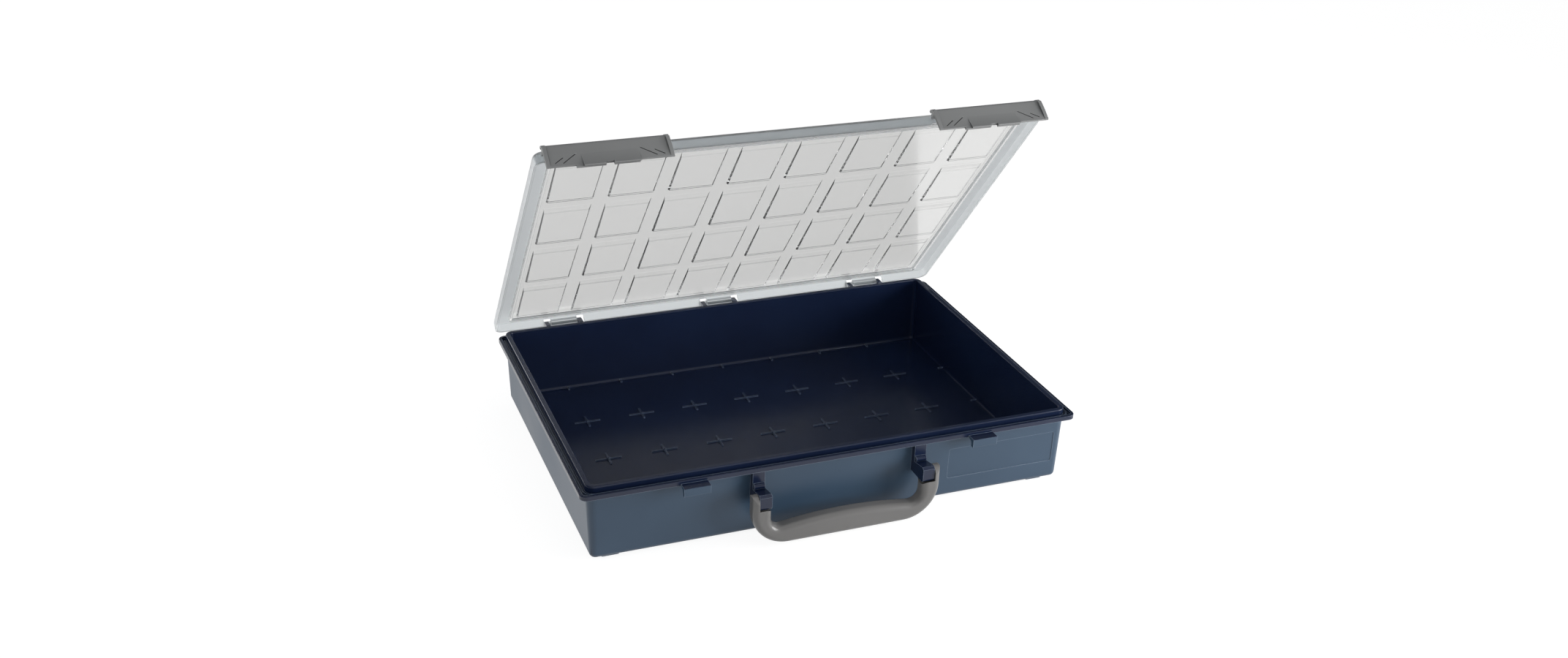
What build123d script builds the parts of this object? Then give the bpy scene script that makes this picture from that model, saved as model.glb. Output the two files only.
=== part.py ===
from build123d import *
import math
import os

# Assortment case: a shallow moulded tray with a clear hinged lid, two snap latches and a carrying
# handle.  Millimetres, +Z up, front at -Y.  The origin is the middle of the tray, on the plane of
# its feet.  Pieces are drawn with the case shut and then swung to the angles they rest at.

# Cells that the case is laid out on
columns = 8
rows = 4
cell_width = 39.5
cell_depth = 55.0
insert_play_x = 1.0
insert_play_y = 0.6

# Tray
foot_height = 2.6
foot_length = 12.0
foot_depth = 6.0
foot_inset_x = 7.7
foot_inset_y = 5.3
foot_radius = 1.5
floor_thickness = 1.8
inner_height = 49.8
wall_at_floor = 1.7
outer_corner_radius = 3.8
inner_corner_radius = 2.6
outer_edge_radius = 3.4
inner_edge_radius = 2.0
bead_width = 3.4
bead_height = 4.5
bead_edge_radius = 0.7
groove_width = 3.0
groove_rib_width = 0.6
groove_rib_height = 0.8
rim_thickness = 1.4
rim_corner_radius = 5.0
lip_width = 2.0
lip_height = 1.6
lip_edge_radius = 0.5

# Crosses on the floor that locate the loose boxes, and the half marks along the walls
cross_length_x = 18.0
cross_length_y = 14.0
cross_width = 1.0
cross_height = 0.8
pip_radius = 1.1
pip_height = 1.3
half_mark_length = 5.0

# Panel sunk in the front wall, for a label
panel_width = 77.0
panel_height = 22.0
panel_bottom = 16.0
panel_inset = 5.5
panel_sink = 0.4
panel_radius = 1.5

# Hinge at the rear: lugs on the tray, knuckles on the lid, steel pins
lug_radius = 3.0
lug_thickness = 3.0
lug_spread = 24.2
lug_notch_gap = 1.1
lug_root_drop = 9.0
hinge_inset = 40.8
hinge_reach = 7.0
pin_radius = 1.25
pin_running_gap = 0.05
pin_chamfer = 0.3
knuckle_side_gap = 0.4
knuckle_web_thickness = 4.0

# Lid
lid_gap = 0.2
lid_thickness = 1.8
skirt_height = 7.7
skirt_thickness = 1.4
skirt_gap = 0.2
rear_skirt_gap = 1.1
lid_corner_radius = 6.0
lid_edge_radius = 2.0
locating_rib_width = 1.7
locating_rib_height = 2.0
locating_rib_gap = 0.4
rear_rib_gap = 0.8
pad_spacing = 8.9
pad_height = 1.0
pad_front_share = 0.6
pad_ramp = 6.0
pad_side_slope = 1.0
pad_rear_slope = 0.3
pad_hollow = 0.4

# Rails that carry the latches, and the catches that they close over
rail_radius = 1.5
rail_reach = 3.4
rail_drop = 2.5
rail_web_thickness = 1.2
rail_end_recess = 0.5
catch_width = 17.0
catch_offset = 29.25
catch_reach = 6.6
catch_top_drop = 1.9
catch_height = 5.8
catch_thickness = 3.0
catch_edge_radius = 0.6
catch_notch_gap = 0.8
catch_notch_rise = 0.3

# Latches
latch_length = 77.5
latch_end_margin = 4.0
latch_running_gap = 0.05
latch_skirt_gap = 0.3
barrel_wall = 1.25
barrel_from = -125.0
barrel_to = 75.0
cap_length = 2.5
cap_from = -140.0
cap_to = 110.0
cap_web_gap = 0.3
latch_height = 14.8
latch_flare = 0.6
latch_thickness = 1.3
latch_foot_radius = 0.5
latch_catch_gap = 0.35
hook_gap = 0.35
hook_depth = 1.1
hook_height = 2.0
end_rib_width = 2.2
end_rib_proud = 1.2
centre_from = 22.0
centre_length = 34.5
centre_proud = 1.4
lip_from = 17.6
lip_length = 38.4
centre_lip_height = 1.5
centre_notch_from = 35.3
centre_notch_width = 5.0
centre_notch_height = 1.8
slot_width = 0.7
slot_depth = 0.5
long_slot_from = (10.2, -12.7)
long_slot_to = (19.4, -6.0)
short_slot_from = (5.4, -12.4)
short_slot_to = (11.0, -8.4)

# Handle and the two brackets that it hangs from
bracket_centre = 55.0
bracket_width = 8.0
bracket_strip_reach = 4.0
bracket_strip_drop = 7.9
roll_radius = 2.0
roll_proud = 2.3
roll_inset = 0.5
block_reach = 4.0
block_rise = 6.0
block_fall = 4.7
block_edge_radius = 2.0
block_bevel = 1.8
pivot_from_bead = 13.7
pivot_height = 32.9
peg_radius = 2.5
peg_length = 3.6
peg_running_gap = 0.05
peg_end_gap = 0.4
cheek_gap = 0.3
cheek_thickness = 4.0
cheek_radius = 5.2
handle_drop = 30.6
grip_height = 15.2
grip_arch = 4.5
grip_outer_radius = 24.0
grip_inner_radius = 7.0
grip_front_round = 4.0
grip_rear_round = 3.0
notch_gap = 0.35
handle_in_angle = 6.0

# Angles of the open case
lid_open_angle = 49.4
latch_open_angle = 6.0

# Levels and faces worked out from the sizes above
inner_x = columns * cell_width / 2 + insert_play_x
inner_y = rows * cell_depth / 2 + insert_play_y
floor_top = foot_height + floor_thickness
bead_top = floor_top + inner_height
groove_floor = bead_top - bead_height
rim_underside = groove_floor - rim_thickness
lip_top = groove_floor + lip_height
wall_foot_x = inner_x + wall_at_floor
wall_foot_y = inner_y + wall_at_floor
wall_height = rim_underside - foot_height
wall_draft = math.degrees(math.atan((bead_width - wall_at_floor) / wall_height))
bead_x = inner_x + bead_width
bead_y = inner_y + bead_width
lip_x = bead_x + groove_width + lip_width
lip_front = bead_y + groove_width + lip_width

hinge_y = bead_y + hinge_reach
hinge_z = bead_top - lug_radius
hinge_places = (-(inner_x - hinge_inset), 0.0, inner_x - hinge_inset)
pin_length = lug_spread + lug_thickness
knuckle_length = lug_spread - lug_thickness - 2 * knuckle_side_gap
lug_notch_width = lug_thickness + 2 * lug_notch_gap

lid_x = lip_x + skirt_gap + skirt_thickness
lid_front = lip_front + skirt_gap + skirt_thickness
lid_rear = bead_y + rear_skirt_gap + skirt_thickness
lid_underside = bead_top + lid_gap
lid_top = lid_underside + lid_thickness
skirt_bottom = lid_top - skirt_height

latch_centre = lid_x - latch_end_margin - latch_length / 2
rail_y = -(lid_front + rail_reach)
rail_z = lid_top - rail_drop
catch_centre = latch_centre - catch_offset
catch_face = lip_front + catch_reach
catch_top = lip_top - catch_top_drop
catch_bottom = catch_top - catch_height

pivot_y = -(bead_y + pivot_from_bead)
cheek_inside = bracket_centre + bracket_width / 2 + cheek_gap
handle_half_width = cheek_inside + cheek_thickness
arm_inside = bracket_centre - bracket_width / 2
case_middle_y = (pivot_y - cheek_radius + hinge_y + lug_radius) / 2

over = 1.0       # how far a cutting shape stands out of what it cuts
bury = 0.6       # how far a joined shape reaches into what it stands on


def block(width, depth, radius, bottom, top, middle_y=0.0):
    """Upright block with rounded corners, between two levels."""
    outline = Pos(0, middle_y, bottom) * RectangleRounded(width, depth, radius)
    return extrude(outline, top - bottom)


def bar(outline, start, length):
    """Solid of a closed outline of (y, z) points and arcs, drawn across, from x = start."""
    face = Plane.YZ.offset(start) * make_face(outline)
    return extrude(face, length)


def rod(radius, length, start, y, z):
    """Round bar along X."""
    return extrude(Plane.YZ.offset(start) * Pos(y, z) * Circle(radius), length)


def tray_wall(inset=0.0):
    """Outside of the tray below the rim: walls that lean out, with a rounded bottom edge."""
    outline = Pos(0, 0, foot_height) * RectangleRounded(
        2 * (wall_foot_x - inset), 2 * (wall_foot_y - inset), outer_corner_radius)
    body = extrude(outline, wall_height, taper=-wall_draft)
    if inset:
        return body
    return fillet(body.faces().sort_by(Axis.Z)[0].edges(), outer_edge_radius)


def tray_rim():
    """Bead that the lid sits over, groove round it and low lip outside the groove."""
    rim_depth = lip_front + bead_y
    rim_middle = (bead_y - lip_front) / 2
    plate = block(2 * lip_x, rim_depth, rim_corner_radius, rim_underside, lip_top, rim_middle)
    plate = fillet(plate.faces().sort_by(Axis.Z)[-1].edges(), lip_edge_radius)
    well = block(2 * (lip_x - lip_width), rim_depth - 2 * lip_width, rim_corner_radius - lip_width,
                 groove_floor, lip_top + over, rim_middle)
    rib_out = groove_width / 2 + groove_rib_width / 2
    rib_in = rib_out - groove_rib_width
    rib_top = groove_floor + groove_rib_height
    rib = block(2 * (bead_x + rib_out), 2 * (bead_y + rib_out), outer_corner_radius + rib_out,
                groove_floor - bury, rib_top)
    rib -= block(2 * (bead_x + rib_in), 2 * (bead_y + rib_in), outer_corner_radius + rib_in,
                 groove_floor - bury, rib_top)
    rear = Pos(0, bead_y, groove_floor) * Box(
        3 * lip_x, 2 * (outer_corner_radius + groove_width), 2 * bead_height)
    bead_radius = outer_corner_radius + bead_width - wall_at_floor
    bead = block(2 * bead_x, 2 * bead_y, bead_radius, rim_underside, bead_top)
    bead -= block(2 * inner_x, 2 * inner_y, inner_corner_radius, rim_underside, bead_top)
    bead = fillet(bead.faces().sort_by(Axis.Z)[-1].edges(), bead_edge_radius)
    return plate - well + (rib - rear) + bead


def floor_marks():
    """Raised crosses where four boxes meet, and short marks where two meet at a wall."""
    marks = []
    bottom = floor_top - bury
    height = bury + cross_height
    for column in range(1, columns):
        x = (column - columns / 2) * cell_width
        for row in range(1, rows):
            y = (row - rows / 2) * cell_depth
            middle = Pos(x, y, bottom + height / 2)
            marks.append(middle * Box(cross_length_x, cross_width, height))
            marks.append(middle * Box(cross_width, cross_length_y, height))
            marks.append(Pos(x, y, bottom) * extrude(Circle(pip_radius), bury + pip_height))
        for side in (-1, 1):
            y = side * (inner_y - half_mark_length / 2 + bury)
            marks.append(Pos(x, y, bottom + height / 2) * Box(cross_width, half_mark_length, height))
    for row in range(1, rows):
        y = (row - rows / 2) * cell_depth
        for side in (-1, 1):
            x = side * (inner_x - half_mark_length / 2 + bury)
            marks.append(Pos(x, y, bottom + height / 2) * Box(half_mark_length, cross_width, height))
    return marks


def tray_feet():
    feet = []
    x = wall_foot_x - foot_inset_x - foot_length / 2
    y = wall_foot_y - foot_inset_y - foot_depth / 2
    for side_x in (-1, 1):
        for side_y in (-1, 1):
            pad = Pos(side_x * x, side_y * y) * RectangleRounded(foot_length, foot_depth, foot_radius)
            feet.append(extrude(pad, foot_height + bury))
    return feet


def hinge_lug(x):
    """Ear on the rear of the rim: a plate that ends round the pin, with a sloping root."""
    start = x - lug_thickness / 2
    root_y = bead_y - bead_width / 2
    web = bar(Polyline(
        (root_y, bead_top), (hinge_y, bead_top), (hinge_y, hinge_z - lug_radius),
        (root_y, hinge_z - lug_radius - lug_root_drop), close=True), start, lug_thickness)
    return web + rod(lug_radius, lug_thickness, start, hinge_y, hinge_z)


def catch(x):
    """Nose that hangs in front of the lip, for a latch to hook below."""
    back = catch_face - catch_thickness
    nose = bar(Polyline(
        (-(lip_front - lip_width), catch_top), (-catch_face, catch_top),
        (-catch_face, catch_bottom), (-back, catch_bottom),
        (-back, catch_bottom + catch_thickness), (-(lip_front - bury), rim_underside),
        (-(lip_front - lip_width), rim_underside), close=True),
        x - catch_width / 2, catch_width)
    front_edges = nose.edges().filter_by(Axis.X).sort_by(Axis.Y)[:2]
    return fillet(front_edges, catch_edge_radius)


def handle_bracket(side):
    """Rib down the front wall, with a roll across it above a block that takes the handle's peg."""
    start = side * bracket_centre - bracket_width / 2
    wall_y = -(inner_y + wall_at_floor / 2)
    strip_y = -(bead_y + bracket_strip_reach)
    strip_bottom = rim_underside - bracket_strip_drop
    front = pivot_y - block_reach
    rib = bar(Polyline(
        (wall_y, rim_underside + bury), (strip_y, rim_underside + bury),
        (strip_y, strip_bottom - 2 * roll_radius),
        (front, pivot_height + block_rise), (front, pivot_height - block_fall),
        (wall_y, pivot_height - block_fall), close=True), start, bracket_width)
    lower_front = rib.edges().filter_by(Axis.X).group_by(Axis.Y)[0].sort_by(Axis.Z)[0]
    rib = fillet(lower_front, block_edge_radius)
    upper_front = rib.edges().filter_by(Axis.X).group_by(Axis.Y)[0].sort_by(Axis.Z)[-1]
    rib = chamfer(upper_front, block_bevel)
    rib += rod(roll_radius, bracket_width - 2 * roll_inset, start + roll_inset,
               strip_y - roll_proud + roll_radius, strip_bottom - roll_radius)
    hole_depth = peg_length + peg_end_gap - cheek_gap
    outer_face = side * (bracket_centre + bracket_width / 2)
    hole_start = min(outer_face + side * over, outer_face - side * hole_depth)
    return rib - rod(peg_radius + peg_running_gap, hole_depth + over, hole_start,
                     pivot_y, pivot_height)


def label_panel():
    """Shallow sinking in the right-hand end of the front wall."""
    x = wall_foot_x - panel_inset - panel_width / 2
    outline = Plane.XZ * Pos(x, panel_bottom + panel_height / 2) * RectangleRounded(
        panel_width, panel_height, panel_radius)
    prism = Pos(0, -inner_y, 0) * extrude(outline, bead_width + over)
    return prism - tray_wall(inset=panel_sink)


def make_tray():
    tray = tray_wall() + tray_rim()
    cavity = block(2 * inner_x, 2 * inner_y, inner_corner_radius, floor_top, bead_top)
    cavity = fillet(cavity.faces().sort_by(Axis.Z)[0].edges(), inner_edge_radius)
    for side in (-1, 1):
        tray += handle_bracket(side)
        tray += catch(side * catch_centre)
    for place in hinge_places:
        for side in (-1, 1):
            tray += hinge_lug(place + side * lug_spread / 2)
    tray -= cavity
    tray += tray_feet()
    tray += floor_marks()
    tray -= label_panel()
    for place in hinge_places:
        tray -= rod(pin_radius, pin_length + 2 * over, place - pin_length / 2 - over,
                    hinge_y, hinge_z)
    return tray


def make_hinge_pin(x):
    pin = rod(pin_radius, pin_length, x - pin_length / 2, hinge_y, hinge_z)
    return chamfer(pin.edges().filter_by(GeomType.CIRCLE), pin_chamfer)


def lid_shell():
    """Flat top with a skirt that stands outside the tray's lip."""
    depth = lid_front + lid_rear
    middle = (lid_rear - lid_front) / 2
    shell = block(2 * lid_x, depth, lid_corner_radius, skirt_bottom, lid_top, middle)
    shell = fillet(shell.faces().sort_by(Axis.Z)[-1].edges(), lid_edge_radius)
    return shell - block(
        2 * (lid_x - skirt_thickness), depth - 2 * skirt_thickness,
        lid_corner_radius - skirt_thickness, skirt_bottom, lid_underside, middle)


def locating_rib():
    """Thin wall under the lid that drops inside the bead."""
    half_x = inner_x - locating_rib_gap
    front = inner_y - locating_rib_gap
    rear = inner_y - rear_rib_gap
    middle = (rear - front) / 2
    bottom = lid_underside - locating_rib_height
    top = lid_underside + bury
    wall = block(2 * half_x, front + rear, inner_corner_radius, bottom, top, middle)
    return wall - block(
        2 * (half_x - locating_rib_width), front + rear - 2 * locating_rib_width,
        inner_corner_radius - locating_rib_width, bottom, top, middle)


def lid_pads(level, depth):
    """Shallow wedges, one per cell, down from a level: each ramps in from the front and slopes at its sides."""
    half_width = (cell_width - pad_spacing) / 2
    half_depth = (cell_depth - pad_spacing) / 2
    side_view = Polyline(
        (-half_depth, level + bury), (half_depth, level + bury), (half_depth, level),
        (half_depth - pad_rear_slope, level - depth),
        (pad_ramp - half_depth, level - pad_front_share * depth), (-half_depth, level), close=True)
    front_view = Polyline(
        (-half_width, level + bury), (half_width, level + bury), (half_width, level),
        (half_width - pad_side_slope, level - depth), (pad_side_slope - half_width, level - depth),
        (-half_width, level), close=True)
    pad = bar(side_view, -half_width, 2 * half_width)
    pad &= extrude(Plane.XZ.offset(-half_depth) * make_face(front_view), 2 * half_depth)
    return [place * pad for place in GridLocations(cell_width, cell_depth, columns, rows)]


def lid_knuckle(x):
    """Round knuckle between a pair of lugs, on a web from the rear skirt."""
    web_width = lug_spread - lug_notch_width
    web = Pos(x, (lid_rear - bury + hinge_y) / 2, hinge_z) * Box(
        web_width, hinge_y - lid_rear + bury, knuckle_web_thickness)
    return web + rod(lug_radius, knuckle_length, x - knuckle_length / 2, hinge_y, hinge_z)


def latch_rail(side):
    """Round rod along the front of the lid that a latch turns on, with its web."""
    rail_length = latch_length - 2 * rail_end_recess
    web_length = latch_length - 2 * (cap_length + cap_web_gap)
    x = side * latch_centre
    web_depth = rail_reach + bury
    web = Pos(x, rail_y + web_depth / 2, rail_z) * Box(web_length, web_depth, rail_web_thickness)
    return web + rod(rail_radius, rail_length, x - rail_length / 2, rail_y, rail_z)


def make_lid():
    """Lid, drawn shut."""
    lid = lid_shell() + locating_rib() + lid_pads(lid_underside, pad_height) - lid_pads(lid_top, pad_hollow)
    notch_height = lid_underside - skirt_bottom + over
    for place in hinge_places:
        for side in (-1, 1):
            lid -= Pos(place + side * lug_spread / 2, lid_rear - skirt_thickness / 2,
                       lid_underside - notch_height / 2) * Box(
                lug_notch_width, skirt_thickness + 2 * bury, notch_height)
    catch_room = catch_top + catch_notch_rise - skirt_bottom
    for side in (-1, 1):
        lid -= Pos(side * catch_centre, -(lid_front - skirt_thickness / 2), skirt_bottom) * Box(
            catch_width + 2 * catch_notch_gap, skirt_thickness + 2 * bury, 2 * catch_room)
    for place in hinge_places:
        lid += lid_knuckle(place)
        lid -= rod(pin_radius + pin_running_gap, knuckle_length + 2 * over,
                   place - knuckle_length / 2 - over, hinge_y, hinge_z)
    for side in (-1, 1):
        lid += latch_rail(side)
    return lid


def ring_part(inner, outer, start_angle, end_angle, start, length):
    """Part of a tube about the latch's axis; angles run from the front (0) over the top (90)."""
    def point(radius, angle):
        turn = math.radians(angle)
        return (-radius * math.cos(turn), radius * math.sin(turn))
    half = (start_angle + end_angle) / 2
    outline = [
        ThreePointArc(point(outer, start_angle), point(outer, half), point(outer, end_angle)),
        Line(point(outer, end_angle), point(inner, end_angle)),
        ThreePointArc(point(inner, end_angle), point(inner, half), point(inner, start_angle)),
        Line(point(inner, start_angle), point(outer, start_angle))]
    return bar(outline, start, length)


def latch_plate(start, length, proud=0.0, foot_proud=0.0, drop=0.0):
    """Slice of the latch's hollow front, which flares out towards its lower edge."""
    barrel = rail_radius + latch_running_gap + barrel_wall
    inside = catch_face + rail_y + latch_catch_gap
    foot = barrel + latch_flare + foot_proud
    bottom = -(latch_height + drop)
    waist = (-(barrel + proud + 0.2 * latch_flare), -0.45 * latch_height)
    outline = [
        ThreePointArc((-(barrel + proud), 0), waist, (-foot, bottom)),
        Line((-foot, bottom), (-(foot - latch_thickness), bottom)),
        Line((-(foot - latch_thickness), bottom), (-inside, -0.62 * latch_height)),
        Line((-inside, -0.62 * latch_height), (-inside, -rail_radius)),
        Line((-inside, -rail_radius), (-(barrel + proud), 0))]
    section = make_face(outline)
    section = fillet(section.vertices().group_by(Axis.Y)[0], latch_foot_radius)
    return bar(section.edges(), start, length)


def latch_hook(start, length):
    """Ledge behind the latch that closes under a catch."""
    inside = catch_face + rail_y + latch_catch_gap
    ledge = -(rail_z - catch_bottom) - hook_gap
    return bar(Polyline(
        (-inside - bury, ledge), (-(inside - hook_depth), ledge),
        (-(inside - hook_depth), ledge - hook_height / 2), (-inside, ledge - hook_height),
        (-inside - bury, ledge - hook_height), close=True), start, length)


def latch_slots():
    """Slanting slots in the skin of both ends of the latch."""
    plate = latch_plate(-latch_length / 2, latch_length)
    skin = plate - Pos(0, slot_depth, 0) * plate
    cutters = Sketch()
    for (low_x, low_z), (high_x, high_z) in ((long_slot_from, long_slot_to),
                                             (short_slot_from, short_slot_to)):
        length = math.hypot(high_x - low_x, high_z - low_z)
        angle = math.degrees(math.atan2(high_z - low_z, high_x - low_x))
        middle_x = (low_x + high_x) / 2 - latch_length / 2
        middle_z = (low_z + high_z) / 2
        cutters += Pos(middle_x, middle_z) * Rot(0, 0, angle) * SlotOverall(length, slot_width)
        cutters += Pos(-middle_x, middle_z) * Rot(0, 0, -angle) * SlotOverall(length, slot_width)
    return skin & extrude(Plane.XZ * cutters, 2 * latch_height)


def make_latch():
    """Latch about its own axis, drawn shut: the front at -Y and the middle at x = 0."""
    start = -latch_length / 2
    bore = rail_radius + latch_running_gap
    cap_radius = rail_reach - latch_skirt_gap
    latch = ring_part(bore, bore + barrel_wall, barrel_from, barrel_to, start, latch_length)
    latch += latch_plate(start, latch_length)
    latch += latch_plate(start + centre_from, centre_length, 0.0, centre_proud, centre_lip_height)
    latch += latch_plate(start + lip_from, lip_length, 0.0, 0.0, centre_lip_height)
    for side_start in (start, -start - end_rib_width):
        latch += latch_plate(side_start, end_rib_width, end_rib_proud)
    hook_length = centre_from - end_rib_width + over
    for hook_start in (start + end_rib_width, -start - end_rib_width - hook_length):
        latch += latch_hook(hook_start, hook_length)
    latch -= latch_slots()
    notch_middle = start + centre_notch_from + centre_notch_width / 2
    notch_top = centre_notch_height - centre_lip_height - latch_height
    latch -= Pos(notch_middle, 0, notch_top - centre_notch_height) * Box(
        centre_notch_width, 4 * latch_height, 2 * centre_notch_height)
    for cap_start in (start, -start - cap_length):
        latch += ring_part(bore, cap_radius, cap_from, cap_to, cap_start, cap_length)
    return latch


def block_room(side):
    """Room that a bracket's block takes out of the handle while the handle swings."""
    width = cheek_inside - arm_inside + over
    start = min(side * cheek_inside, side * (cheek_inside - width))
    rounded_corner = math.hypot(block_reach - block_edge_radius, block_fall - block_edge_radius)
    radius = notch_gap + max(
        math.hypot(block_reach, block_fall - block_edge_radius),
        rounded_corner + block_edge_radius,
        math.hypot(block_reach, block_rise - block_bevel),
        math.hypot(block_reach - block_bevel, block_rise))
    room = rod(radius, width, start, pivot_y, pivot_height)
    pivot = Axis((0, pivot_y, pivot_height), (1, 0, 0))
    fall = block_fall + notch_gap
    above = 2 * cheek_radius
    behind = Pos(start + width / 2, pivot_y + cheek_radius, pivot_height - fall + above / 2) * Box(
        width, 2 * cheek_radius, above)
    return room + behind + behind.rotate(pivot, -handle_in_angle)


def make_handle():
    """Bail handle, drawn hanging straight down."""
    top = pivot_height + cheek_radius
    bottom = pivot_height - handle_drop
    grip_top = bottom + grip_height
    depth = 2 * cheek_radius
    outer = Pos(0, (top + bottom) / 2) * Rectangle(2 * handle_half_width, top - bottom)
    outer = fillet(outer.vertices().group_by(Axis.Y)[0], grip_outer_radius)
    mouth = make_face([
        ThreePointArc((-arm_inside, grip_top - grip_arch), (0, grip_top), (arm_inside, grip_top - grip_arch)),
        Polyline((arm_inside, grip_top - grip_arch), (arm_inside, top + over), (-arm_inside, top + over),
                 (-arm_inside, grip_top - grip_arch))])
    mouth = fillet(mouth.vertices().group_by(Axis.Y)[0], grip_inner_radius)
    outline = Plane.XZ.offset(-pivot_y - cheek_radius) * (outer - mouth)
    bail = extrude(outline, depth)
    front = bail.faces().sort_by(Axis.Y)[0].edges()
    bail = fillet(front, grip_front_round)
    rear = bail.faces().sort_by(Axis.Y)[-1].edges()
    bail = fillet(rear, grip_rear_round)
    side_view = rod(cheek_radius, 4 * handle_half_width, -2 * handle_half_width, pivot_y, pivot_height)
    side_view += Pos(0, pivot_y, (pivot_height + bottom - over) / 2) * Box(
        4 * handle_half_width, depth, pivot_height - bottom + over)
    bail &= side_view
    for side in (-1, 1):
        bail -= block_room(side)
        peg_start = min(side * (cheek_inside + bury), side * (cheek_inside - peg_length))
        bail += rod(peg_radius, peg_length + bury, peg_start, pivot_y, pivot_height)
    return bail


def swing_lid(piece):
    """Turn a piece with the lid, from shut to where it rests open."""
    return piece.rotate(Axis((0, hinge_y, hinge_z), (1, 0, 0)), -lid_open_angle)


def place_latch(side):
    latch = make_latch().rotate(Axis.X, -latch_open_angle)
    return swing_lid(Pos(side * latch_centre, rail_y, rail_z) * latch)


def main():
    pieces = {
        "tray": make_tray(),
        "lid": swing_lid(make_lid()),
        "latch_left": place_latch(-1),
        "latch_right": place_latch(1),
        "handle": make_handle(),
    }
    for name, place in zip(("left", "middle", "right"), hinge_places):
        pieces["hinge_pin_" + name] = make_hinge_pin(place)
    os.makedirs("parts", exist_ok=True)
    for name, piece in pieces.items():
        export_step(Pos(0, -case_middle_y, 0) * piece, "parts/" + name + ".step")


main()
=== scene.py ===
import math

import bpy
from mathutils import Matrix, Vector

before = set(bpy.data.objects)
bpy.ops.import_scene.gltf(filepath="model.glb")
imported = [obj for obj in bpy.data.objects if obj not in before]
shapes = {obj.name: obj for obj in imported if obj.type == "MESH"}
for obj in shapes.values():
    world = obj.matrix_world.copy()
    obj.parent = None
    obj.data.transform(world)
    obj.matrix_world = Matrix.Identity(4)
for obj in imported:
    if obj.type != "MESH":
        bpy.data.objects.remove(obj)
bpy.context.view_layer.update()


# The camera looks at the open case from its front left and a little above, over the handle.
# A moderate lens from just over a metre keeps the sides of the case nearly parallel.
# Many bounces are allowed, because light crosses the clear lid's faces several times.
camera_azimuth = math.radians(-21.843)
camera_elevation = math.radians(25.15)
camera_roll = math.radians(1.787)
camera_distance = 1.13107
tray_middle_y = 0.00445
aim_right = 0.00538
aim_up = 0.07645
sensor_width = 36.0
lens_length = 37.148
nearest_seen = 0.05
farthest_seen = 60.0
bounces = 16
gloss_bounces = 12

back = Vector((
    math.sin(camera_azimuth) * math.cos(camera_elevation),
    -math.cos(camera_azimuth) * math.cos(camera_elevation),
    math.sin(camera_elevation),
))
level = Vector((math.cos(camera_azimuth), math.sin(camera_azimuth), 0.0))
upward = back.cross(level)
tray_middle = Vector((0.0, tray_middle_y, 0.0))
stand = tray_middle + level * aim_right + upward * aim_up + back * camera_distance
right_edge = level * math.cos(camera_roll) + upward * math.sin(camera_roll)
top_edge = upward * math.cos(camera_roll) - level * math.sin(camera_roll)

lens = bpy.data.cameras.new("studio_camera")
lens.sensor_width = sensor_width
lens.lens = lens_length
lens.clip_start = nearest_seen
lens.clip_end = farthest_seen
camera = bpy.data.objects.new("studio_camera", lens)
turn = Matrix((right_edge, top_edge, back)).transposed()
camera.matrix_world = Matrix.Translation(stand) @ turn.to_4x4()
bpy.context.scene.collection.objects.link(camera)
bpy.context.scene.camera = camera
bpy.context.scene.view_settings.view_transform = "Standard"
bpy.context.scene.cycles.max_bounces = bounces
bpy.context.scene.cycles.glossy_bounces = gloss_bounces
bpy.context.scene.cycles.transmission_bounces = bounces


# A white sweep of studio paper under soft light from four diffusers, in a room that is dim above.
# Two grey cards stand at the sides, out of view, and draw dark edges in the clear lid.
# The diffusers are listed as name, place, aim, side and watts, with lengths in metres.
paper_white = "#C4C4C4"
seen_white = "#FFFFFF"
room_grey = "#5E6266"
ceiling_grey = "#8C8E90"
card_grey = "#53585B"
paper_width = 24.0
seen_strength = 1.12
shadow_share = 0.22
sky_strength = 0.80
dim_light_from, dim_light_full = 0.1, 0.9
dim_room_from, dim_room_full = 0.22, 0.68
card_distance = 0.9
card_half_length = 2.0
card_foot, card_top = 0.02, 2.0
diffusers = (
    ("overhead_diffuser", (0.1, -0.4, 1.6), (0.0, 0.0, 0.0), 1.5, 4.5),
    ("left_diffuser", (-1.5, -0.9, 0.6), (0.0, 0.0, 0.05), 1.1, 3.5),
    ("right_diffuser", (0.72, -0.50, 0.13), (0.12, 0.0, 0.03), 0.5, 9.5),
    ("rear_left_diffuser", (-1.0, 1.3, 0.18), (-0.16, 0.0, 0.03), 0.6, 7.0),
)


def linear(code):
    """An sRGB hex colour as linear RGBA."""
    parts = [int(code[i:i + 2], 16) / 255 for i in (1, 3, 5)]
    return [p / 12.92 if p <= 0.04045 else ((p + 0.055) / 1.055) ** 2.4 for p in parts] + [1.0]


def add(tree, kind, inputs, **settings):
    """Adds a node. An input is given a value, or another node's output socket to link."""
    made = tree.nodes.new("ShaderNode" + kind)
    for name, value in settings.items():
        setattr(made, name, value)
    for socket, value in inputs.items():
        if isinstance(value, bpy.types.NodeSocket):
            tree.links.new(value, made.inputs[socket])
        else:
            made.inputs[socket].default_value = value
    return made


def empty_material(name):
    """A new material with no nodes yet, and its tree."""
    made = bpy.data.materials.new(name)
    made.use_nodes = True
    made.node_tree.nodes.clear()
    return made, made.node_tree


def seen_directly(tree):
    """1 for what the camera meets, straight or by a gloss or through clear plastic."""
    path = add(tree, "LightPath", {}).outputs
    either = add(tree, "Math", {
        0: path["Is Camera Ray"], 1: path["Is Glossy Ray"],
    }, operation="MAXIMUM").outputs[0]
    return add(tree, "Math", {
        0: either, 1: path["Is Transmission Ray"],
    }, operation="MAXIMUM").outputs[0]


def flat_sheet(name, corners, finish):
    """A four-cornered sheet that belongs to the studio."""
    mesh = bpy.data.meshes.new(name)
    mesh.from_pydata(corners, [], [(0, 1, 2, 3)])
    mesh.materials.append(finish)
    sheet = bpy.data.objects.new(name, mesh)
    bpy.context.scene.collection.objects.link(sheet)
    return sheet


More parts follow.
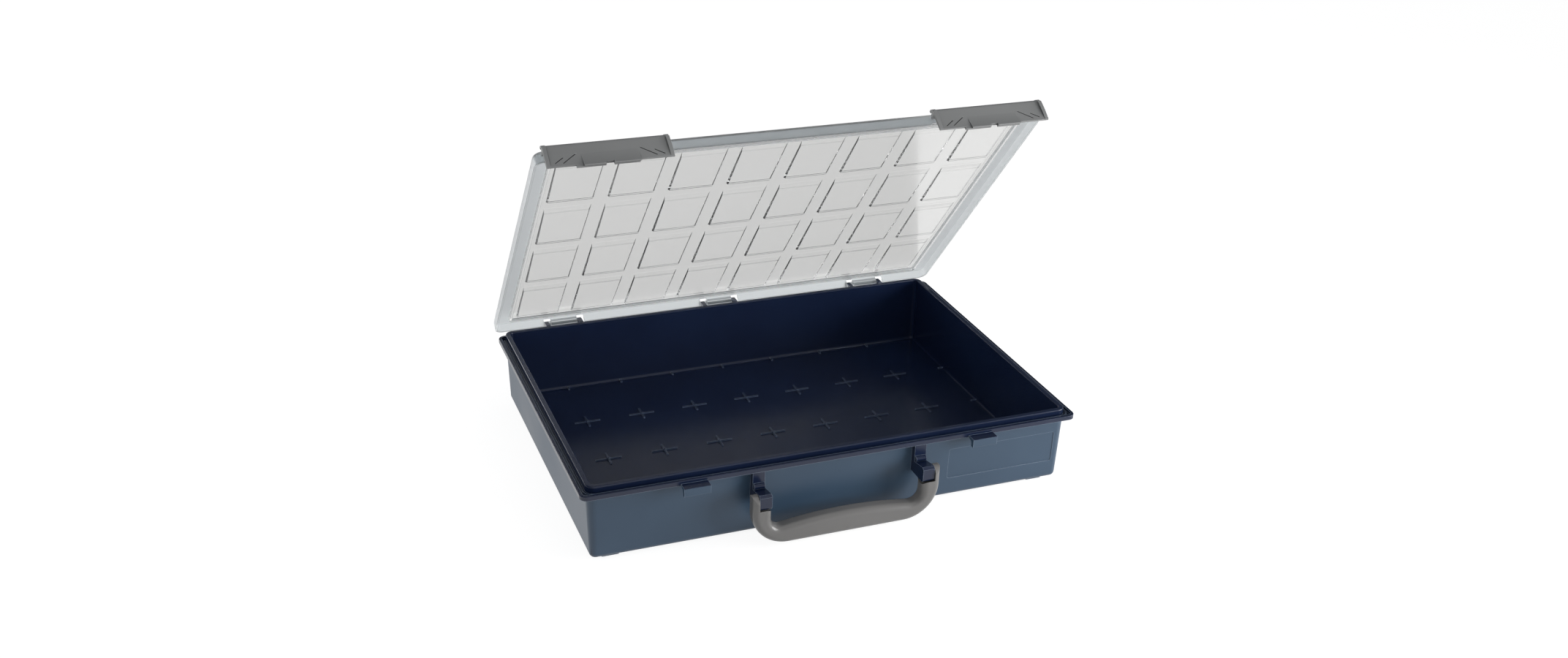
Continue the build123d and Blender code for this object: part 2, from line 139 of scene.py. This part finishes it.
# The air's light falls from white at the paper to grey overhead, so upper faces aren't flooded.
# What the camera and the glosses meet is white near the horizon, and a dim room above it.
studio = bpy.data.worlds.new("studio_air")
studio.use_nodes = True
air = studio.node_tree
air.nodes.clear()
heading = add(air, "TexCoord", {}).outputs["Generated"]
height = add(air, "SeparateXYZ", {0: heading}).outputs["Z"]
overhead = add(air, "MapRange", {
    "Value": height, "From Min": dim_light_from, "From Max": dim_light_full,
}, interpolation_type="SMOOTHSTEP").outputs[0]
soft_air = add(air, "Mix", {
    0: overhead, 6: linear(seen_white), 7: linear(ceiling_grey),
}, data_type="RGBA").outputs[2]
ambient = add(air, "Background", {"Color": soft_air, "Strength": sky_strength})
above_case = add(air, "MapRange", {
    "Value": height, "From Min": dim_room_from, "From Max": dim_room_full,
}, interpolation_type="SMOOTHSTEP").outputs[0]
room = add(air, "Mix", {
    0: above_case, 6: linear(seen_white), 7: linear(room_grey),
}, data_type="RGBA").outputs[2]
backdrop = add(air, "Background", {"Color": room, "Strength": 1.0})
chosen = add(air, "MixShader", {
    0: seen_directly(air), 1: ambient.outputs[0], 2: backdrop.outputs[0],
})
add(air, "OutputWorld", {"Surface": chosen.outputs[0]})
bpy.context.scene.world = studio

# Matt white paper: it throws soft light up at the case, and is seen as pure white.
# A small share of what is seen is lit, so that the case keeps a faint shadow on it. The rest glows.
matt_paper, tree = empty_material("matt_white_paper")
lit = add(tree, "BsdfDiffuse", {"Color": linear(paper_white)})
shade = add(tree, "BsdfDiffuse", {"Color": (shadow_share, shadow_share, shadow_share, 1.0)})
glow = add(tree, "Emission", {
    "Color": linear(seen_white), "Strength": seen_strength - shadow_share,
})
seen = add(tree, "AddShader", {0: shade.outputs[0], 1: glow.outputs[0]})
both = add(tree, "MixShader", {0: seen_directly(tree), 1: lit.outputs[0], 2: seen.outputs[0]})
add(tree, "OutputMaterial", {"Surface": both.outputs[0]})
half = paper_width / 2
flat_sheet("paper_sweep", [
    (-half, -half, 0), (half, -half, 0), (half, half, 0), (-half, half, 0),
], matt_paper)

# Grey card: an even grey that shows only in the glosses and edges of the lid.
grey_card, tree = empty_material("grey_card")
even = add(tree, "Emission", {"Color": linear(card_grey), "Strength": 1.0})
add(tree, "OutputMaterial", {"Surface": even.outputs[0]})
for name, x in (("left_card", -card_distance), ("right_card", card_distance)):
    card = flat_sheet(name, [
        (x, -card_half_length, card_foot), (x, card_half_length, card_foot),
        (x, card_half_length, card_top), (x, -card_half_length, card_top),
    ], grey_card)
    card.visible_camera = False
    card.visible_diffuse = False
    card.visible_shadow = False

for name, place, aim, side, power in diffusers:
    lamp = bpy.data.lights.new(name, "AREA")
    lamp.shape = "SQUARE"
    lamp.size = side
    lamp.energy = power
    holder = bpy.data.objects.new(name, lamp)
    holder.location = place
    holder.rotation_euler = (Vector(aim) - Vector(place)).to_track_quat("-Z", "Y").to_euler()
    holder.visible_camera = False
    bpy.context.scene.collection.objects.link(holder)


# The tray is one injection moulding in dark blue polypropylene, with a stepped rim and floor crosses.
# Its mould was textured outside, and left smoother inside, on the rim and on the handle brackets.
# The two finishes meet along the rim's underside, the catches' tops and the foot of the walls.
tray_blue = "#111B33"
tray_blue_light = "#121E38"
# The textured faces get a paler, greyer blue: a painted sheen for the haze of their grain and the
# light on the front wall.
painted_sheen_blue = "#2E4256"
painted_sheen_blue_light = "#34485C"
# A pale blue painted highlight for the tray's rounded edges.
tray_painted_highlight_blue = "#93A2B4"
outside_from_x = 0.1599
outside_from_y = 0.1114
rim_underside = 0.0470
rim_reach = 0.0078
catch_top = 0.0491
corner_cut = 0.0051
floor_middle = 0.0035
bracket_from = 0.0509
bracket_to = 0.0591
bracket_off_wall = 0.0020
bracket_front = -outside_from_y - bracket_off_wall
meeting_line = 0.0001
tray_edge_round = 0.0004
tray_edge_samples = 8
flat_likeness = 0.995
edge_likeness = 0.90
tray_highlight_share = 0.6
polypropylene_ior = 1.5
flow_patch_mm = 60.0
flow_detail = 3.0
flow_lighter_from, flow_lighter_full = 0.35, 0.65
pattern_low, pattern_high = 0.3, 0.7
grain_roughness = 0.6
tray_grain_mm = 0.9
tray_grain_depth_mm = 0.02
inside_roughness = 0.24
outside_roughness = 0.40
roughness_change = 0.03
inside_relief = 0.1
outside_relief = 0.6


def turned_edge(tree, rounding, samples):
    """How alike the true and the rounded-off normals are: 1 on a flat face, less along an edge."""
    rounded = add(tree, "Bevel", {"Radius": rounding}, samples=samples).outputs[0]
    true_normal = add(tree, "NewGeometry", {}).outputs["True Normal"]
    return add(tree, "VectorMath", {
        0: rounded, 1: true_normal,
    }, operation="DOT_PRODUCT").outputs["Value"]


def flow_marks(tree, place):
    """Slow changes left by the melt as it filled the mould: the pattern, and its lighter share."""
    slow = add(tree, "TexNoise", {
        "Vector": place, "Scale": 1000 / flow_patch_mm, "Detail": flow_detail,
    }).outputs["Fac"]
    lighter = add(tree, "MapRange", {
        "Value": slow, "From Min": flow_lighter_from, "From Max": flow_lighter_full,
    }).outputs[0]
    return slow, lighter


def finish_node(node, material):
    """Puts the material on every face of a carried-over shape."""
    mesh = shapes[node].data
    mesh.materials.clear()
    mesh.materials.append(material)


# Moulded polypropylene: a satin, slightly waxy dark blue. Where it is textured its colour is painted
# paler and greyer, a painted sheen for the haze its grain scatters. Its rounded edges get a painted
# highlight.
blue_polypropylene, tree = empty_material("moulded_blue_polypropylene")
place = add(tree, "TexCoord", {}).outputs["Object"]
spot = add(tree, "SeparateXYZ", {0: place}).outputs
far_x = add(tree, "Math", {0: spot["X"]}, operation="ABSOLUTE").outputs[0]
middle_y = add(tree, "Math", {0: spot["Y"], 1: tray_middle_y}, operation="SUBTRACT").outputs[0]
far_y = add(tree, "Math", {0: middle_y}, operation="ABSOLUTE").outputs[0]
past_x = add(tree, "Math", {0: far_x, 1: outside_from_x}, operation="SUBTRACT").outputs[0]
past_y = add(tree, "Math", {0: far_y, 1: outside_from_y}, operation="SUBTRACT").outputs[0]
past = add(tree, "Math", {0: past_x, 1: past_y}, operation="MAXIMUM").outputs[0]

# Textured: the walls below the rim, and the catches, which stand out past the rim.
past_wall = add(tree, "MapRange", {
    "Value": past, "From Min": -meeting_line, "From Max": meeting_line,
}).outputs[0]
below_rim = add(tree, "MapRange", {
    "Value": spot["Z"],
    "From Min": rim_underside + 2 * meeting_line, "From Max": rim_underside - 2 * meeting_line,
}).outputs[0]
wall = add(tree, "Math", {0: past_wall, 1: below_rim}, operation="MULTIPLY").outputs[0]
past_rim = add(tree, "MapRange", {
    "Value": past, "From Min": rim_reach - meeting_line, "From Max": rim_reach + meeting_line,
}).outputs[0]
below_catch_top = add(tree, "MapRange", {
    "Value": spot["Z"],
    "From Min": catch_top + meeting_line, "From Max": catch_top - meeting_line,
}).outputs[0]
fitting = add(tree, "Math", {0: past_rim, 1: below_catch_top}, operation="MULTIPLY").outputs[0]

# Textured too: the underside, up to a line across the rounded foot of the walls.
past_less_height = add(tree, "Math", {0: past, 1: spot["Z"]}, operation="SUBTRACT").outputs[0]
foot_edge = add(tree, "MapRange", {
    "Value": past_less_height,
    "From Min": -corner_cut - meeting_line, "From Max": -corner_cut + meeting_line,
}).outputs[0]
underside = add(tree, "MapRange", {
    "Value": spot["Z"],
    "From Min": floor_middle + meeting_line, "From Max": floor_middle - meeting_line,
}).outputs[0]
upper = add(tree, "Math", {0: wall, 1: fitting}, operation="MAXIMUM").outputs[0]
lower = add(tree, "Math", {0: foot_edge, 1: underside}, operation="MAXIMUM").outputs[0]
textured = add(tree, "Math", {0: upper, 1: lower}, operation="MAXIMUM").outputs[0]

# Smooth: the two handle brackets, which stand off the front wall.
short_of_bracket = add(tree, "MapRange", {
    "Value": far_x,
    "From Min": bracket_from + meeting_line, "From Max": bracket_from - meeting_line,
}).outputs[0]
beyond_bracket = add(tree, "MapRange", {
    "Value": far_x,
    "From Min": bracket_to - meeting_line, "From Max": bracket_to + meeting_line,
}).outputs[0]
beside_bracket = add(tree, "Math", {
    0: short_of_bracket, 1: beyond_bracket,
}, operation="MAXIMUM").outputs[0]
behind_bracket = add(tree, "MapRange", {
    "Value": middle_y,
    "From Min": bracket_front - meeting_line, "From Max": bracket_front + meeting_line,
}).outputs[0]
off_bracket = add(tree, "Math", {
    0: beside_bracket, 1: behind_bracket,
}, operation="MAXIMUM").outputs[0]
outside = add(tree, "Math", {0: textured, 1: off_bracket}, operation="MULTIPLY").outputs[0]

slow, lighter = flow_marks(tree, place)
smooth_colour = add(tree, "Mix", {
    0: lighter, 6: linear(tray_blue), 7: linear(tray_blue_light),
}, data_type="RGBA").outputs[2]
# The textured faces take the paler, greyer blue: a painted sheen.
sheen_painted_colour = add(tree, "Mix", {
    0: lighter, 6: linear(painted_sheen_blue), 7: linear(painted_sheen_blue_light),
}, data_type="RGBA").outputs[2]
faces = add(tree, "Mix", {
    0: outside, 6: smooth_colour, 7: sheen_painted_colour,
}, data_type="RGBA").outputs[2]
# Painted highlight: a pale blue along the rounded edges, where the rounded and true normals differ.
painted_highlight = add(tree, "MapRange", {
    "Value": turned_edge(tree, tray_edge_round, tray_edge_samples),
    "From Min": flat_likeness, "From Max": edge_likeness, "To Max": tray_highlight_share,
}).outputs[0]
colours = add(tree, "Mix", {
    0: painted_highlight, 6: faces, 7: linear(tray_painted_highlight_blue),
}, data_type="RGBA").outputs[2]
evenly = add(tree, "MapRange", {
    "Value": outside, "To Min": inside_roughness, "To Max": outside_roughness,
}).outputs[0]
change = add(tree, "MapRange", {
    "Value": slow, "From Min": pattern_low, "From Max": pattern_high,
    "To Min": -roughness_change, "To Max": roughness_change,
}).outputs[0]
dulled = add(tree, "Math", {0: evenly, 1: change}, operation="ADD").outputs[0]
# The real grain is finer than a pixel, so it is drawn as coarse as it needs to show.
grain = add(tree, "TexNoise", {
    "Vector": place, "Scale": 1000 / tray_grain_mm, "Roughness": grain_roughness,
}).outputs["Fac"]
depth = add(tree, "MapRange", {
    "Value": outside, "To Min": inside_relief, "To Max": outside_relief,
}).outputs[0]
relief = add(tree, "Bump", {
    "Height": grain, "Strength": depth, "Distance": tray_grain_depth_mm / 1000,
}).outputs[0]
skin = add(tree, "BsdfPrincipled", {
    "Base Color": colours, "Roughness": dulled, "IOR": polypropylene_ior, "Normal": relief,
})
add(tree, "OutputMaterial", {"Surface": skin.outputs[0]})
finish_node("tray", blue_polypropylene)


# Three steel pins are pressed through the hinge lugs of the tray and carry the lid's knuckles.
# They are drawn wire, cut and chamfered, and only their ends show.
pin_grey = "#D2D4D5"
drawn_line_width_mm = 1 / 3
drawn_line_length_mm = 100 / 3
wire_roughness = (0.28, 0.42)

# Drawn steel: a bright grey metal whose fine lines run along the wire and stretch its highlights.
drawn_steel, tree = empty_material("drawn_steel_wire")
place = add(tree, "TexCoord", {}).outputs["Object"]
stretched = add(tree, "Mapping", {"Vector": place, "Scale": (
    1000 / drawn_line_length_mm, 1000 / drawn_line_width_mm, 1000 / drawn_line_width_mm,
)}).outputs[0]
lines = add(tree, "TexNoise", {"Vector": stretched, "Scale": 1.0}).outputs["Fac"]
dulled = add(tree, "MapRange", {
    "Value": lines, "To Min": wire_roughness[0], "To Max": wire_roughness[1],
}).outputs[0]
wire = add(tree, "BsdfPrincipled", {
    "Base Color": linear(pin_grey), "Metallic": 1.0, "Roughness": dulled,
})
add(tree, "OutputMaterial", {"Surface": wire.outputs[0]})
for side in ("left", "middle", "right"):
    finish_node("hinge_pin_" + side, drawn_steel)


# The lid is one injection moulding in clear polycarbonate, with a grid of raised pads inside.
# It turns on the three pins. Its panel is polished, and the rim round the panel is textured.
lid_clear = "#DEDEDD"
lid_frosted = "#CFD3D5"
# A grey painted shade for the lid's rounded edges.
lid_painted_edge_shade = "#8B9294"
lid_shadow_tint = "#DEDEDE"
frosted_from_x = 0.1586
frosted_from_y = 0.1100
frosting_line = 0.0003
lid_edge_round = 0.0006
lid_edge_samples = 8
lid_flat_likeness = 0.99
lid_edge_likeness = 0.93
lid_edge_shade_share = 0.75
polished_roughness = 0.09
frosted_roughness = 0.28
handled_patch_mm = 45.0
handled_roughness = 0.03
polycarbonate_ior = 1.49
lid_open_angle = math.radians(49.4)
lid_axis = Vector((0.0, 0.12545, 0.0512))
lid_turn = Matrix.Rotation(lid_open_angle, 3, "X")

# Moulded polycarbonate: clear and glossy on the panel, soft and milky where it is textured.
# Its rounded edges are painted greyer, a painted shade for the dark lines refracted at the pads'
# edges, which outlines the pads. The open lid is laid flat to find the rim.
clear_polycarbonate, tree = empty_material("moulded_clear_polycarbonate")
place = add(tree, "TexCoord", {}).outputs["Object"]
laid_flat = add(tree, "Mapping", {
    "Vector": place, "Location": lid_axis - lid_turn @ lid_axis,
    "Rotation": (lid_open_angle, 0.0, 0.0),
}).outputs[0]
spot = add(tree, "SeparateXYZ", {0: laid_flat}).outputs
far_x = add(tree, "Math", {0: spot["X"]}, operation="ABSOLUTE").outputs[0]
middle_y = add(tree, "Math", {0: spot["Y"], 1: tray_middle_y}, operation="SUBTRACT").outputs[0]
far_y = add(tree, "Math", {0: middle_y}, operation="ABSOLUTE").outputs[0]
side_rim = add(tree, "MapRange", {
    "Value": far_x,
    "From Min": frosted_from_x - frosting_line, "From Max": frosted_from_x + frosting_line,
}).outputs[0]
long_rim = add(tree, "MapRange", {
    "Value": far_y,
    "From Min": frosted_from_y - frosting_line, "From Max": frosted_from_y + frosting_line,
}).outputs[0]
frosted = add(tree, "Math", {0: side_rim, 1: long_rim}, operation="MAXIMUM").outputs[0]
evenly = add(tree, "MapRange", {
    "Value": frosted, "To Min": polished_roughness, "To Max": frosted_roughness,
}).outputs[0]
slow = add(tree, "TexNoise", {"Vector": place, "Scale": 1000 / handled_patch_mm}).outputs["Fac"]
change = add(tree, "MapRange", {
    "Value": slow, "From Min": pattern_low, "From Max": pattern_high,
    "To Max": handled_roughness,
}).outputs[0]
dulled = add(tree, "Math", {0: evenly, 1: change}, operation="ADD").outputs[0]
faces = add(tree, "Mix", {
    0: frosted, 6: linear(lid_clear), 7: linear(lid_frosted),
}, data_type="RGBA").outputs[2]
# Painted shade: a grey along the rounded edges, where the rounded and true normals differ.
painted_edge_shade = add(tree, "MapRange", {
    "Value": turned_edge(tree, lid_edge_round, lid_edge_samples),
    "From Min": lid_flat_likeness, "From Max": lid_edge_likeness, "To Max": lid_edge_shade_share,
}).outputs[0]
colours = add(tree, "Mix", {
    0: painted_edge_shade, 6: faces, 7: linear(lid_painted_edge_shade),
}, data_type="RGBA").outputs[2]
skin = add(tree, "BsdfPrincipled", {
    "Base Color": colours, "Roughness": dulled, "IOR": polycarbonate_ior,
    "Transmission Weight": 1.0,
})
path = add(tree, "LightPath", {}).outputs
light_passes = add(tree, "BsdfTransparent", {"Color": linear(lid_shadow_tint)})
whole = add(tree, "MixShader", {
    0: path["Is Shadow Ray"], 1: skin.outputs[0], 2: light_passes.outputs[0],
})
add(tree, "OutputMaterial", {"Surface": whole.outputs[0]})
finish_node("lid", clear_polycarbonate)


# The two latches are moulded in grey polypropylene, and each snaps round a rail at the lid's front.
# Each has slanted slots, end ribs and a notched lip for the finger.
latch_grey = "#797A7A"
latch_grey_light = "#808181"
# A pale grey painted highlight for the latches' rounded edges.
latch_highlight_grey = "#A8AAAA"
latch_roughness = 0.45
latch_grain_mm = 0.7
latch_grain_depth_mm = 0.02
moulded_relief = 0.5
# The grooves and slots get painted shade, darker where little open space is round them.
groove_reach = 0.0015
groove_samples = 8
groove_closed, groove_open = 0.4, 0.9
darkest_painted_groove_shade = 0.15
small_edge_round = 0.0005
small_edge_samples = 6
small_highlight_share = 0.3


def moulded_grey(name, colour, lighter_colour, highlight_colour, roughness, grain_mm, grain_depth_mm):
    """Opaque grey plastic from a textured mould, with painted shade in its grooves and a painted
    highlight on its edges.
    """
    made, tree = empty_material(name)
    place = add(tree, "TexCoord", {}).outputs["Object"]
    slow, lighter = flow_marks(tree, place)
    faces = add(tree, "Mix", {
        0: lighter, 6: linear(colour), 7: linear(lighter_colour),
    }, data_type="RGBA").outputs[2]
    # Painted shade: the colour is darkened where a groove or slot closes in.
    openness = add(tree, "AmbientOcclusion", {
        "Distance": groove_reach,
    }, samples=groove_samples).outputs["AO"]
    painted_groove_shade = add(tree, "MapRange", {
        "Value": openness, "From Min": groove_closed, "From Max": groove_open,
        "To Min": darkest_painted_groove_shade,
    }).outputs[0]
    painted_shade_colours = add(tree, "Mix", {
        0: 1.0, 6: faces, 7: painted_groove_shade,
    }, data_type="RGBA", blend_type="MULTIPLY").outputs[2]
    # Painted highlight: a paler colour along the rounded edges.
    painted_highlight = add(tree, "MapRange", {
        "Value": turned_edge(tree, small_edge_round, small_edge_samples),
        "From Min": flat_likeness, "From Max": edge_likeness, "To Max": small_highlight_share,
    }).outputs[0]
    colours = add(tree, "Mix", {
        0: painted_highlight, 6: painted_shade_colours, 7: linear(highlight_colour),
    }, data_type="RGBA").outputs[2]
    dulled = add(tree, "MapRange", {
        "Value": slow, "From Min": pattern_low, "From Max": pattern_high,
        "To Min": roughness - roughness_change, "To Max": roughness + roughness_change,
    }).outputs[0]
    grain = add(tree, "TexNoise", {
        "Vector": place, "Scale": 1000 / grain_mm, "Roughness": grain_roughness,
    }).outputs["Fac"]
    relief = add(tree, "Bump", {
        "Height": grain, "Strength": moulded_relief, "Distance": grain_depth_mm / 1000,
    }).outputs[0]
    skin = add(tree, "BsdfPrincipled", {
        "Base Color": colours, "Roughness": dulled, "IOR": polypropylene_ior, "Normal": relief,
    })
    add(tree, "OutputMaterial", {"Surface": skin.outputs[0]})
    return made


# Moulded grey polypropylene: an even, matt grey with a fine grain, drawn coarse enough to show.
grey_polypropylene = moulded_grey(
    "moulded_grey_polypropylene", latch_grey, latch_grey_light, latch_highlight_grey,
    latch_roughness, latch_grain_mm, latch_grain_depth_mm,
)
for side in ("left", "right"):
    finish_node("latch_" + side, grey_polypropylene)


# The carrying handle is one moulding in warmer grey polypropylene, sprung onto pegs on the tray.
# Its grip is arched and rounded for the hand, and its mould was polished smoother.
handle_grey = "#686766"
handle_grey_light = "#6D6C6B"
# A pale grey painted highlight for the handle's rounded edges.
handle_highlight_grey = "#8E8D8C"
handle_roughness = 0.32
handle_grain_mm = 1.2
handle_grain_depth_mm = 0.008

# Smooth moulded polypropylene: a little glossy, with soft long highlights and a very shallow grain.
smooth_polypropylene = moulded_grey(
    "smooth_moulded_grey_polypropylene", handle_grey, handle_grey_light, handle_highlight_grey,
    handle_roughness, handle_grain_mm, handle_grain_depth_mm,
)
finish_node("handle", smooth_polypropylene)
